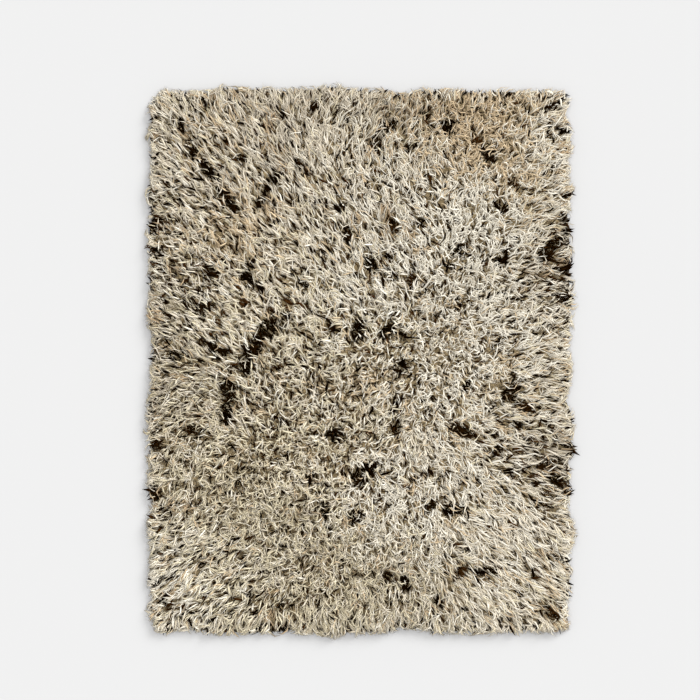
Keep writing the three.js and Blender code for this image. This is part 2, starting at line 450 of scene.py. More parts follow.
class RUG_PG_stage(bpy.types.PropertyGroup):
    """The floor, the light and the camera"""

    floor: colour("Floor", "Colour of the plain floor", (0.494, 0.494, 0.494))
    sky: amount("Sky", "Brightness of the light all round", 0.74)
    sun: amount("Sun", "Strength of the main light", 2.98)
    sun_height: angle("Sun height", "Height of the main light", math.radians(31))
    sun_side: angle("Sun side", "Side that the main light is on", math.radians(45))
    sun_size: angle("Sun size", "Width of the main light", math.radians(26))
    overhead: amount("Overhead", "Strength of the soft light above", 1.75)
    overhead_size: angle("Overhead size", "Width of the soft light", math.radians(80))
    view_width: length("View width", "Width of floor in the picture", 2.270)
    view_x: length("View X", "Middle of the picture across the rug", -0.0374)
    view_y: length("View Y", "Middle of the picture along the rug", 0.0373)
    lens: amount("Lens", "Focal length in millimetres", 85)
    sensor: amount("Sensor", "Width of the camera's sensor in millimetres", 36)


class Value:
    """A shader value. Python's operators on it add Math nodes."""

    def __init__(self, finish, socket):
        self.finish = finish
        self.socket = socket

    def math(self, operation, *values):
        sockets = dict(enumerate(values))
        return self.finish.node("ShaderNodeMath", {"operation": operation}, sockets)

    def __add__(self, other):
        return self.math("ADD", self, other)

    def __radd__(self, other):
        return self.math("ADD", other, self)

    def __sub__(self, other):
        return self.math("SUBTRACT", self, other)

    def __rsub__(self, other):
        return self.math("SUBTRACT", other, self)

    def __mul__(self, other):
        return self.math("MULTIPLY", self, other)

    def __rmul__(self, other):
        return self.math("MULTIPLY", other, self)

    def __truediv__(self, other):
        return self.math("DIVIDE", self, other)

    def floor(self):
        return self.math("FLOOR", self)

    def wave(self):
        """A wave from 0 to 1: the value's sine, halved and raised."""
        return self.math("SINE", self) * 0.5 + 0.5

    def ramp(self, low, high, start=0.0, end=1.0):
        """Goes smoothly from start to end as the value goes from low to high."""
        sockets = {0: self, 1: low, 2: high, 3: start, 4: end}
        return self.finish.node("ShaderNodeMapRange", {"interpolation_type": "SMOOTHSTEP"}, sockets)


class Finish:
    """One material and the nodes that paint it."""

    def __init__(self, name):
        self.material = bpy.data.materials.new(name)
        self.material.use_nodes = True
        self.tree = self.material.node_tree
        self.shader = self.tree.nodes["Principled BSDF"]

    def node(self, kind, settings=None, sockets=None, output=0):
        """Adds a node, sets it up, fills its sockets and gives one of its outputs."""
        made = self.tree.nodes.new(kind)
        for name, value in (settings or {}).items():
            setattr(made, name, value)
        for socket, value in (sockets or {}).items():
            self.fill(made.inputs[socket], value)
        return Value(self, made.outputs[output])

    def fill(self, socket, value):
        """Links a shader value to a socket, or sets the socket to a plain value."""
        if isinstance(value, Value):
            self.tree.links.new(value.socket, socket)
        else:
            socket.default_value = value

    def mix(self, share, first, second, blend="MIX"):
        settings = {"data_type": "RGBA", "blend_type": blend}
        return self.node("ShaderNodeMix", settings, {0: share, 6: first, 7: second}, output=2)

    def point(self, x, y, z=0.0):
        return self.node("ShaderNodeCombineXYZ", sockets={0: x, 1: y, 2: z})

    def with_painted_shade(self, wool, red, green, blue):
        """A wool's colour under painted shade: the shares that are left of its red, green and blue."""
        return self.mix(1.0, wool, self.point(red, green, blue), "MULTIPLY")

    def noise(self, place, scale, detail=2.0, swirl=0.0):
        sockets = {"Vector": place, "Scale": scale, "Detail": detail, "Distortion": swirl}
        return self.node("ShaderNodeTexNoise", {}, sockets)

    def object_place(self):
        return self.node("ShaderNodeTexCoord", output=3)

    def coordinates(self, place):
        return [self.node("ShaderNodeSeparateXYZ", sockets={0: place}, output=i) for i in range(3)]

    def bump(self, height, strength, distance):
        sockets = {"Strength": strength, "Distance": distance, "Height": height}
        return self.node("ShaderNodeBump", sockets=sockets)

    def surface(self, **values):
        """Fills sockets of the shader, named in small letters, and gives the material."""
        sockets = {socket.name.lower().replace(" ", "_"): socket for socket in self.shader.inputs}
        for name, value in values.items():
            self.fill(sockets[name], value)
        return self.material


def rgba(value):
    return (*value, 1.0)


def shades(settings, wool):
    """The deepest and the lightest colour of a wool."""
    return [rgba(getattr(settings, f"{wool}_{shade}")) for shade in SHADES]


# Fibres across a column of the yarn map and along it, and how much faster than red the other
# two colours fall in the painted shade at a lock's root and tip.
FIBRES_ACROSS = 9.0
FIBRES_ALONG = 1.6
GREEN_FALL = 1.05
BLUE_FALL = 1.22


def wool_finish(pile, yarn):
    """Carded wool: a column of the yarn map for each tone, with fibres running along the lock."""
    finish = Finish(f"{yarn.name}_wool")
    place = finish.node("ShaderNodeUVMap", {"uv_map": YARN_MAP})
    across, along, _ = finish.coordinates(place)
    columns = across * TONES
    tone = columns.floor() / (TONES - 1)
    fibre_place = finish.point(columns * FIBRES_ACROSS, along * FIBRES_ALONG)
    fibres = finish.noise(fibre_place, scale=1.0, detail=3.0).ramp(low=0.3, high=0.7)
    blend = tone * (1 - yarn.streaks) + fibres * yarn.streaks
    wool = finish.mix(blend, *shades(pile, yarn.name))
    # Painted shade: a lock is darker at its root, deep in the pile, and a little darker at its tip to
    # tone down the light it catches; green and blue fall faster than red, so the shade is warm.
    root = along.ramp(low=0.0, high=0.4, start=0.68, end=1.0)
    tip = along.ramp(low=0.55, high=1.0, start=1.0, end=0.8)
    red = root * tip
    green = red * GREEN_FALL + (1 - GREEN_FALL)
    blue = red * BLUE_FALL + (1 - BLUE_FALL)
    return finish.surface(
        base_color=finish.with_painted_shade(wool, red, green, blue),
        roughness=0.78 + fibres * 0.2,
        normal=finish.bump(fibres, strength=0.4, distance=0.0008),
        specular_ior_level=yarn.sheen,
        sheen_weight=yarn.sheen,
        sheen_roughness=0.5,
    )


def weave_finish(ground):
    """Plain woven wool: weft ribs across the rug, each packed over the warp."""
    finish = Finish("woven_ground")
    place = finish.object_place()
    x, y, z = finish.coordinates(place)
    ribs = (y * (TURN / ground.rib_pitch)).wave()
    warp = (x * (TURN / ground.warp_pitch)).wave()
    slub = finish.noise(place, scale=90.0, detail=4.0)
    height = ribs * 0.6 + warp * ribs * 0.4
    # Painted shade: the weft is mixed deeper where the weave is low, in the hollows between ribs and
    # threads; the slubs are uneven wool.
    wool = finish.mix(height * 0.7 + slub * 0.5 - 0.1, *shades(ground, "weft"))
    middle, top = ground.thickness * 0.5, ground.thickness * 0.9
    # Painted shade: the ground's top, under the pile, is darkened.
    painted_shade_under_pile = z.ramp(low=middle, high=top, start=1.0, end=0.2)
    return finish.surface(
        base_color=finish.with_painted_shade(wool, painted_shade_under_pile, painted_shade_under_pile, painted_shade_under_pile),
        roughness=0.85 + slub * 0.1,
        normal=finish.bump(height + slub * 0.3, strength=0.6, distance=0.0015),
    )


def felt_finish(pile):
    """Matted wool low in the pile: short fibres lying all ways, with painted shade darker close to the
    floor.
    """
    finish = Finish("matted_wool")
    place = finish.object_place()
    _, _, height = finish.coordinates(place)
    swirls = finish.noise(place, scale=32.0, swirl=1.2)
    fibres = (swirls * 60.0).wave()
    patches = finish.noise(place, scale=70.0).ramp(low=0.35, high=0.65)
    # The felt's colours carry painted shade of the deep pile.
    wool = finish.mix(fibres * 0.5 + patches * 0.5, *shades(pile, "felt"))
    # Painted shade: the felt darkens towards the floor, where the pile above shades it.
    shade = height.ramp(low=0.003, high=LIP, start=0.3, end=1.0)
    return finish.surface(
        base_color=finish.with_painted_shade(wool, shade, shade, shade),
        roughness=0.8 + fibres * 0.15,
        normal=finish.bump(fibres, strength=0.6, distance=0.002),
    )


class Outline:
    """The rug's outline in plan, anticlockwise, read from the underside of its solid."""

    ROUND = 6
    BATCH = 8000

    def __init__(self, node):
        places = np.array([vertex.co for vertex in node.data.vertices])
        on_floor = places[:, 2] < TOUCHING
        edge = np.unique(places[on_floor, :2].round(self.ROUND), axis=0)
        self.start = edge[np.argsort(np.arctan2(edge[:, 1], edge[:, 0]))]
        self.run = np.roll(self.start, -1, axis=0) - self.start
        self.reach = np.abs(self.start).max(0)

    def nearest(self, places):
        """How far inside the outline each place is, and which way the outline lies from it."""
        depth = np.empty(len(places))
        outward = np.empty((len(places), 2))
        for some in np.array_split(np.arange(len(places)), 1 + len(places) // self.BATCH):
            off = places[some, None] - self.start
            share = np.clip((off * self.run).sum(-1) / (self.run**2).sum(-1), 0, 1)
            gap = off - share[..., None] * self.run
            distance = np.hypot(gap[..., 0], gap[..., 1])
            best = distance.argmin(1)
            row = np.arange(len(some))
            gap, run = gap[row, best], self.run[best]
            inside = np.sign(run[:, 0] * gap[:, 1] - run[:, 1] * gap[:, 0])
            depth[some] = distance[row, best] * inside
            outward[some] = -gap * (inside / np.maximum(distance[row, best], TINY))[:, None]
        return depth, outward


def patchy(places, size, chance, cells=64):
    """Smooth chance values from 0 to 1, uneven over patches of the given size."""
    table = chance.random((cells, cells))
    cell = places / size
    low = np.floor(cell).astype(int)
    share = cell - low
    share = share * share * (3 - 2 * share)

    def corner(x, y):
        return table[(low[:, 0] + x) % cells, (low[:, 1] + y) % cells]

    near = corner(0, 0) * (1 - share[:, 0]) + corner(1, 0) * share[:, 0]
    far = corner(0, 1) * (1 - share[:, 0]) + corner(1, 1) * share[:, 0]
    return near * (1 - share[:, 1]) + far * share[:, 1]


def close_to(places, row):
    """How close each place is to the middle of a table's row, from 1 there down to 0 far away."""
    return np.exp(-((places - (row.x, row.y)) ** 2).sum(1) / row.reach**2)


def turned(down, over, heading):
    """Steps down and over a heading, as steps along X and Y."""
    cosine, sine = np.cos(heading), np.sin(heading)
    return np.stack([down * cosine - over * sine, down * sine + over * cosine], -1)


# The border's start in edge bands, its fade, turn outwards and tangle, and the tangle of partings.
BORDER_START = 1.25
BORDER_FADE = 0.7
BORDER_TURN = 0.75
CORNER_TURN = 0.05
EDGE_TANGLE = math.radians(28)
PARTING_TANGLE = 1.1


def combed(pile, outline, places):
    """Heading, lie and tangle of the pile at each place, and how far it belongs to the border."""
    table = np.array(COMBING)
    gap = places[:, None] - table[:, :2]
    weight = np.exp(-(gap**2).sum(-1) / COMB_REACH**2) + NEVER_ZERO
    weight /= weight.sum(1, keepdims=True)
    heading = np.radians(table[:, 2])
    lay = np.stack([weight @ np.cos(heading), weight @ np.sin(heading)], -1)
    depth, _ = outline.nearest(places)
    outward = np.sinh(places / CORNER_TURN) * np.exp(-outline.reach / CORNER_TURN)
    outward /= np.linalg.norm(outward, axis=1, keepdims=True) + NEVER_ZERO
    at_edge = np.clip(BORDER_START - depth / pile.edge_band, 0, 1) ** BORDER_FADE
    outwards = BORDER_TURN * at_edge[:, None]
    lay = lay * (1 - outwards) + outward * outwards
    lie = (weight @ table[:, 3]) * (1 - at_edge) + at_edge
    tangle = np.radians(weight @ table[:, 4]) * (1 - at_edge) + EDGE_TANGLE * at_edge
    agreed = np.clip(np.hypot(lay[:, 0], lay[:, 1]), 0, 1)
    heading = np.arctan2(lay[:, 1], lay[:, 0])
    return heading, lie * agreed, tangle + PARTING_TANGLE * (1 - agreed), at_edge


def pile_top(pile, depth):
    """Height of the pile's top at a depth inside the outline: a lip, then a round shoulder."""
    unrisen = 1 - np.clip(depth / pile.shoulder, 0, 1)
    return LIP + (CROWN - LIP) * np.sqrt(1 - unrisen**2)


# Knots stray by a share of the pitch. Some near the edge are tied twice, and all near a corner.
KNOT_JITTER = 0.4
TWICE_BAND = 0.08
TWICE_SHARE = 0.45
TWICE_SHIFT = 0.006
CORNER_REACH = 0.15


def tie_knots(pile, ground, outline, chance):
    """Where the knots are tied: in rows across the ground, closer together along the border."""
    pitch = (pile.knot_pitch, pile.row_pitch)
    lines = [np.arange(-reach, reach, gap) for reach, gap in zip(outline.reach, pitch)]
    knots = np.stack(np.meshgrid(*lines), -1).reshape(-1, 2)
    knots += chance.uniform(-KNOT_JITTER, KNOT_JITTER, knots.shape) * pitch
    depth, _ = outline.nearest(knots)
    from_corner = np.hypot(*(outline.reach - np.abs(knots)).T)
    share = np.where(from_corner < CORNER_REACH, 1, TWICE_SHARE)
    twice = (depth < TWICE_BAND) & (chance.random(len(knots)) < share)
    again = knots[twice] + chance.normal(0, TWICE_SHIFT, (twice.sum(), 2))
    knots = np.concatenate([knots, again])
    depth, _ = outline.nearest(knots)
    return knots[depth > ground.overhang + pile.lock_width / 2]


# A fleck's gaps fill an oval, which reaches this share of the fleck's size from its middle.
FLECK_SPREAD = 0.55

# Loose gaps: the share of places that open, how it varies over patches, and brown wool in them.
LOOSE_SHARE = 0.55
LOOSE_PATCH = 0.06
LOOSE_FEWEST = 0.4
LOOSE_RANGE = 1.2
BROWN_SHARE = 0.3
LEAST_BROWN = 0.05

# All gaps: their sizes, how far from the edge they stop, how they turn and how long they are.
GAP_SPREAD = 0.38
GAP_SIZES = (0.4, 2.2)
GAP_INSET = 0.009
GAP_TURN = 0.2
GAP_TANGLE = 0.7
GAP_STRETCH = (2, 5.5)
Gaps = namedtuple("Gaps", "places heading long wide brown depth")


def open_flecks(pile, chance):
    """Places of the gaps that make up the flecks, and how brown each is."""
    flecks = np.array(FLECKS)
    fill = np.ceil(flecks[:, 2] * flecks[:, 3] / pile.fleck_fill**2).astype(int)
    x, y, long, wide, turn, brown = np.repeat(flecks, fill, axis=0).T
    out = np.sqrt(chance.random(len(long)))
    around = chance.uniform(0, TURN, len(long))
    down = out * np.cos(around) * long * FLECK_SPREAD
    over = out * np.sin(around) * wide * FLECK_SPREAD
    return np.stack([x, y], -1) + turned(down, over, np.radians(turn)), brown


def open_loose(pile, outline, chance):
    """Places of the loose gaps all over the rug, and how brown each is."""
    loose = chance.uniform(-outline.reach, outline.reach, (pile.loose_gaps, 2))
    share = LOOSE_SHARE * (LOOSE_FEWEST + LOOSE_RANGE * patchy(loose, LOOSE_PATCH, chance))
    for speckle in SPECKLES:
        share *= 1 + speckle.more * close_to(loose, speckle)
    loose = loose[chance.random(len(loose)) < share]
    has_brown = chance.random(len(loose)) < BROWN_SHARE
    return loose, np.where(has_brown, chance.random(len(loose)), LEAST_BROWN)


def open_gaps(pile, outline, chance):
    """The dark gaps between the tufts: those of the flecks, and loose ones all over the rug."""
    in_flecks, fleck_brown = open_flecks(pile, chance)
    loose, loose_brown = open_loose(pile, outline, chance)
    places = np.concatenate([in_flecks, loose])
    brown = np.concatenate([fleck_brown, loose_brown])
    radius = np.repeat([pile.fleck_radius, pile.loose_radius], [len(in_flecks), len(loose)])
    radius *= np.clip(chance.lognormal(0, GAP_SPREAD, len(places)), *GAP_SIZES)
    depth, _ = outline.nearest(places)
    inside = depth > GAP_INSET
    places, brown, radius, depth = places[inside], brown[inside], radius[inside], depth[inside]
    heading, _, tangle, _ = combed(pile, outline, places)
    count = len(places)
    heading += chance.normal(0, GAP_TURN, count) + chance.normal(0, GAP_TANGLE, count) * tangle
    stretch = chance.uniform(*GAP_STRETCH, count)
    return Gaps(places, heading, radius * stretch, radius, brown, depth)


class GapMap:
    """A fine grid over the rug that marks where the pile is open."""

    CELL = 0.0012
    MARGIN = 0.08
    MARKS = 400
    GOLDEN_ANGLE = math.pi * (3 - math.sqrt(5))

    def __init__(self, outline, gaps):
        self.corner = -outline.reach - self.MARGIN
        self.open = np.zeros(np.ceil(-2 * self.corner / self.CELL).astype(int), bool)
        mark = np.arange(self.MARKS) + 0.5
        out, around = np.sqrt(mark / self.MARKS), mark * self.GOLDEN_ANGLE
        down = gaps.long[:, None] * out * np.cos(around)
        over = gaps.wide[:, None] * out * np.sin(around)
        marks = gaps.places[:, None] + turned(down, over, gaps.heading[:, None])
        self.open[self.cells(marks)] = True

    def cells(self, places):
        cell = ((places - self.corner) / self.CELL).astype(int)
        return cell[..., 0], cell[..., 1]

    def covers(self, places):
        return self.open[self.cells(places)]


def rings_of(lock_rings):
    """Where a lock's rings are, as shares of its length."""
    return np.array([ring.at for ring in lock_rings])


def along_line(spine, at):
    """Points of each lock's middle line at shares of its length."""
    rings = rings_of(LOCK_RINGS)
    low = np.clip(np.searchsorted(rings, at, side="right") - 1, 0, len(rings) - 2)
    share = (at - rings[low]) / np.diff(rings)[low]
    row = np.arange(len(spine))[:, None]
    return spine[row, low] + (spine[row, low + 1] - spine[row, low]) * share[..., None]


# A lock is tried for gaps at these shares of its length, and ends a little before the first.
GAP_CHECKS = np.linspace(0.3, 1, 16)
STOP_BEFORE = 0.03


def stop_at_gaps(pile, gap_map, spine, chance):
    """Shortens the locks that would hide a gap, and says which. A few still cross it."""
    at = np.broadcast_to(GAP_CHECKS, (len(spine), len(GAP_CHECKS)))
    hidden = gap_map.covers(along_line(spine, at)[..., :2])
    hidden[chance.random(len(spine)) < pile.crossing] = False
    stopped = hidden.any(1)
    share = np.where(stopped, GAP_CHECKS[hidden.argmax(1)] - STOP_BEFORE, 1)
    return along_line(spine, rings_of(LOCK_RINGS) * share[:, None]), stopped


# The short dark locks: turn and size against their gap, height in the pile, arch and tone. In a
# fleck they are its dark wool; in a loose gap they are dark wool and painted shade of the deep pile.
FILL_TURN = 0.3
FILL_LONGER = 1.2
FILL_WIDER = 2.8
FILL_LEVEL = 0.57
FILL_ARCH = 0.15
BROWN_TONE = 0.6
FILL_TONE_SPREAD = 0.06


def fill_gaps(pile, gaps, chance):
    """Middle lines, widths and tones of the short dark locks low in the gaps, one to a gap."""
    count = len(gaps.places)
    heading = gaps.heading + chance.normal(0, FILL_TURN, count)
    rings = rings_of(SHORT_RINGS)
    down = (2 * rings - 1) * gaps.long[:, None] * FILL_LONGER
    rise = FILL_LEVEL + FILL_ARCH * np.sin(math.pi * rings)
    plan = gaps.places[:, None] + turned(down, 0, heading[:, None])
    height = pile_top(pile, gaps.depth)[:, None] * rise
    tone = gaps.brown * BROWN_TONE + chance.normal(0, FILL_TONE_SPREAD, count)
    spine = np.concatenate([plan, height[..., None]], -1)
    return spine, gaps.wide * FILL_WIDER, np.clip(tone, 0, 1)


# How much the locks of one knot, and the strays among them, differ in heading, curl and lie.
LOCK_TURN = 0.08
TANGLED_TURN = 0.8
STRAY_TURN = 0.8
STRAY_CURL = 1.2
KNOT_LIE_SPREAD = 0.14
LOCK_LIE_SPREAD = 0.08
MOST_LIE = 1.1
Lay = namedtuple("Lay", "owner heading curl lie at_edge depth")


def comb_locks(pile, outline, knots, chance):
    """The knot, heading, curl and lie of every lock, its part in the border and its knot's depth."""
    depth, _ = outline.nearest(knots)
    heading, lie, tangle, at_edge = combed(pile, outline, knots)
    heading = heading + chance.normal(0, 1, len(knots)) * tangle
    curl = chance.normal(0, pile.knot_curl, len(knots)) + chance.normal(0, 1, len(knots)) * tangle
    lie = lie + chance.normal(0, KNOT_LIE_SPREAD, len(knots))

    owner = np.repeat(np.arange(len(knots)), pile.locks)
    count = len(owner)
    stray = chance.random(count) < pile.strays
    spread = LOCK_TURN + TANGLED_TURN * tangle[owner] ** 2
    heading = heading[owner] + chance.normal(0, 1, count) * spread
    heading += stray * chance.normal(0, STRAY_TURN, count)
    curl = curl[owner] + chance.normal(0, pile.lock_curl, count)
    curl += stray * chance.normal(0, STRAY_CURL, count)
    lie = np.clip(lie[owner] + chance.normal(0, LOCK_LIE_SPREAD, count), 0, MOST_LIE)
    return Lay(owner, heading, curl, lie, at_edge[owner], depth[owner])


# How steep a lock is, in degrees, where the pile stands and where it lies, and how soon it leans.
Rise = namedtuple("Rise", "root tip")
STANDING_RISE = Rise(85, 60)
LYING_RISE = Rise(44, -16)
LEAN_RATE = 1.5

# Shares of the lock length, by lie and in the border, and the point of a lock that keeps its heading.
LENGTH_SPREAD = (0.72, 1.12)
STANDING_LENGTH = 0.72
LYING_LONGER = 0.3
BORDER_SHORTER = 0.25
CURL_PIVOT = 0.3

# How far from its knot a lock is rooted, and how much farther in standing pile.
ROOT_SCATTER = 0.002
STANDING_SCATTER = 0.0045


def bend_locks(pile, knots, lay, chance):
    """The middle line of every lock: it rises from its root, leans over and curls."""
    count = len(lay.owner)
    long = pile.lock_length * chance.uniform(*LENGTH_SPREAD, count)
    long *= STANDING_LENGTH + LYING_LONGER * lay.lie
    long *= 1 - BORDER_SHORTER * lay.at_edge
    rings = rings_of(LOCK_RINGS)
    middle = (rings[1:] + rings[:-1]) / 2
    turn = lay.heading[:, None] + lay.curl[:, None] * (middle - CURL_PIVOT)
    rise_root, rise_tip = (
        np.radians(standing + (lying - standing) * lay.lie)[:, None]
        for standing, lying in zip(STANDING_RISE, LYING_RISE)
    )
    rise = rise_tip + (rise_root - rise_tip) * (1 - middle) ** LEAN_RATE
    move = np.stack([np.cos(rise) * np.cos(turn), np.cos(rise) * np.sin(turn), np.sin(rise)], -1)
    step = long[:, None] * np.diff(rings)
    spine = np.zeros((count, len(rings), 3))
    spine[:, 1:] = np.cumsum(move * step[..., None], axis=1)
    scatter = ROOT_SCATTER + STANDING_SCATTER * np.clip(1 - lay.lie, 0, 1)
    roots = knots[lay.owner] + chance.normal(0, 1, (count, 2)) * scatter[:, None]
    spine[:, :, :2] += roots[:, None]
    return spine


# Waves along a lock and their strength. A tuft is fullest at half its length.
WAVES = (0.7, 1.3)
CRIMP_SPREAD = (0.3, 1.5)
TUFT_ROOT = 0.45
TUFT_BELLY = 2.4
TUFT_CLOSING = 0.95
TIP_LIFT = 0.002
LYING_LOFT = 0.55


def wave_locks(pile, lay, spine, chance):
    """Waves each lock from side to side, spreads it in its tuft and lofts it."""
    count = len(spine)
    rings = rings_of(LOCK_RINGS)
    wave = chance.uniform(*WAVES, count)[:, None] * rings + chance.random(count)[:, None]
    strength = pile.crimp * rings * chance.uniform(*CRIMP_SPREAD, count)[:, None]
    belly = TUFT_ROOT + TUFT_BELLY * rings * (1 - TUFT_CLOSING * rings)
    aside = np.sin(TURN * wave) * strength
    aside += chance.normal(0, pile.tuft_spread, count)[:, None] * belly
    spine[:, :, 0] -= aside * np.sin(lay.heading)[:, None]
    spine[:, :, 1] += aside * np.cos(lay.heading)[:, None]
    spine[:, :, 2] += chance.normal(0, TIP_LIFT, count)[:, None] * rings
    spine[:, :, 2] *= 1 + LYING_LOFT * lay.lie[:, None]


# How far border locks are drawn out to the outline, and how tufts and locks spill past it.
DRAW_UNEVEN = 0.005
MOST_DRAW = 0.03
DRAW_FADE = 1.5
TUFT_SPILL = 0.0055
LOCK_SPILL = (-0.0045, 0.003)

# How low border locks lie, how soon along a lock it is draped, and how high the knots are.
LOWEST_LAYER = 0.1
DRAPE_RATE = 2.5
KNOT_LEVEL = 0.75


def drape_border(pile, ground, outline, lay, spine, chance):
    """Draws the border's locks to the outline and drapes them over it, then sets all on the ground."""
    rings = rings_of(LOCK_RINGS)
    level = ground.thickness * KNOT_LEVEL
    near = lay.depth < pile.edge_band + pile.lock_length
    locks, at_edge = spine[near], lay.at_edge[near]

    short, way = outline.nearest(locks[:, -1, :2])
    short = np.clip(short - chance.uniform(0, DRAW_UNEVEN, len(locks)), 0, MOST_DRAW)
    draw = short * at_edge**DRAW_FADE
    locks[:, :, :2] += (way * draw[:, None])[:, None] * rings[:, None]

    tufts = lay.owner[-1] + 1
    spill = chance.normal(0, TUFT_SPILL, tufts)[lay.owner][near]
    spill = spill + chance.normal(*LOCK_SPILL, len(locks))
    depth, way = outline.nearest(locks[:, -1, :2])
    past = np.maximum(-depth - spill, 0)
    locks[:, :, :2] -= (way * past[:, None])[:, None] * rings[:, None]
    depth, way = outline.nearest(locks[:, :, :2].reshape(-1, 2))
    past = np.maximum(-depth - np.repeat(spill, len(rings)), 0)
    locks[:, :, :2] -= (way * past[:, None]).reshape(len(locks), -1, 2)

    top = pile_top(pile, depth + past).reshape(len(locks), -1)
    layer = chance.uniform(LOWEST_LAYER, 1, len(locks))[:, None]
    share = at_edge[:, None] * np.minimum(rings * DRAPE_RATE, 1)
    locks[:, :, 2] += (top * layer - level - locks[:, :, 2]) * share
    spine[near] = locks
    spine[:, :, 2] += level
    thin = pile.lock_width / 4
    spine[:, :, 2] = np.clip(spine[:, :, 2], thin, CROWN - thin)


# A lock takes its colour from the place a little before its tip, where most of it shows.
SHOWS_AT = 0.45

# Round a fleck, and in small patches all over, some locks are stained tan.
HALO = 0.5
HALO_SHARE = 0.2
BROWN_HALO = 0.5
STAIN_PATCH = 0.024
STAIN_ABOVE = 0.83
STAIN_SHARE = 0.55
STAIN_TONE = 0.6

# Tones vary over fine and wide patches, and from lock to lock and knot to knot.
Patch = namedtuple("Patch", "size share")
TONE_PATCHES = [Patch(0.035, 0.55), Patch(0.12, 0.24)]
LOCK_TONES = (0.03, 0.71)
KNOT_TONES = (0, 0.32)
DARK_BIAS = 2.5


def choose_yarns(pile, lay, spine, chance):
    """The yarn and the tone of every lock, by where most of it shows."""
    owner = lay.owner
    count, tufts = len(owner), owner[-1] + 1
    shows = spine[:, -2, :2] * (1 - SHOWS_AT) + spine[:, -1, :2] * SHOWS_AT
    shares = [yarn.share for yarn in YARNS]
    yarn = chance.choice(len(YARNS), count, p=shares)
    knot_yarn = chance.choice(len(YARNS), tufts, p=shares)[owner]
    yarn = np.where(chance.random(count) < pile.one_yarn, knot_yarn, yarn)
    for tint in TINTS:
        tinted = chance.random(count) < tint.share * close_to(shows, tint)
        yarn[tinted] = YARN_NAMES.index(tint.yarn)

    around = np.zeros(count)
    for fleck in FLECKS:
        away = ((shows - (fleck.x, fleck.y)) ** 2).sum(1) / (HALO * fleck.long) ** 2
        around = np.maximum(around, (HALO_SHARE + BROWN_HALO * fleck.brown) * np.exp(-away))
    chances = chance.random(count)
    stained = chances < around + STAIN_SHARE * (patchy(shows, STAIN_PATCH, chance) > STAIN_ABOVE)
    yarn[stained] = YARN_NAMES.index("tan")
    dark = chance.random(count) < pile.single_darks
    yarn[dark] = YARN_NAMES.index("dark")

    tone = sum(patch.share * patchy(shows, patch.size, chance) for patch in TONE_PATCHES)
    tone += chance.uniform(*LOCK_TONES, count) + chance.uniform(*KNOT_TONES, tufts)[owner]
    # Tone raised or lowered over the listed patches.
    for tone_shift in TONE_SHIFTS:
        tone += tone_shift.tone * close_to(shows, tone_shift)
    tone[stained] -= STAIN_TONE
    tone[dark] = chance.random(dark.sum()) ** DARK_BIAS
    return yarn, np.clip(tone, 0, 1)


def model_lock(lock_rings):
    """One lock standing on the origin, a unit long and wide: its points, faces and yarn map."""
    bpy.ops.object.select_all(action="DESELECT")
    root_radius = lock_rings[0].wide / 2
    bpy.ops.mesh.primitive_circle_add(vertices=LOCK_SIDES, radius=root_radius, fill_type="NGON")
    lock = bpy.context.active_object
    bpy.ops.object.mode_set(mode="EDIT")
    for low, high in zip(lock_rings, lock_rings[1:]):
        rise = {"value": (0, 0, high.at - low.at)}
        bpy.ops.mesh.extrude_region_move(TRANSFORM_OT_translate=rise)
        if high.wide:
            widen = high.wide / low.wide
            middle = (0, root_radius / 4, high.at)
            bpy.ops.transform.resize(value=(widen, widen, 1), center_override=middle)
        else:
            bpy.ops.mesh.merge(type="CENTER")
    bpy.ops.mesh.select_all(action="SELECT")
    bpy.ops.mesh.normals_make_consistent(inside=False)
    bpy.ops.mesh.quads_convert_to_tris()
    bpy.ops.object.mode_set(mode="OBJECT")
    points = np.array([vertex.co for vertex in lock.data.vertices])
    faces = np.array([polygon.vertices for polygon in lock.data.polygons])
    bpy.data.objects.remove(lock)

    around = np.arctan2(points[:, 1], points[:, 0]) / TURN % 1
    corner = around[faces]
    corner = np.where(corner.max(1, keepdims=True) - corner > 0.5, corner + 1, corner)
    height = points[faces][..., 2]
    tip = height > 1 - TINY
    corner[tip] = ((corner.sum(1) - (corner * tip).sum(1)) / 2)[tip.any(1)]
    corner -= 1 / (2 * LOCK_SIDES)
    chart = np.stack([np.clip(corner, 0, 1), height], -1)
    root = (height < TINY).all(1)
    chart[root] = ROOT_CHART
    return Lock(rings_of(lock_rings), points, faces, chart)


def smooth(mesh):
    """Shades every face of a mesh smooth."""
    mesh.polygons.foreach_set("use_smooth", np.ones(len(mesh.polygons), bool))
    mesh.update()


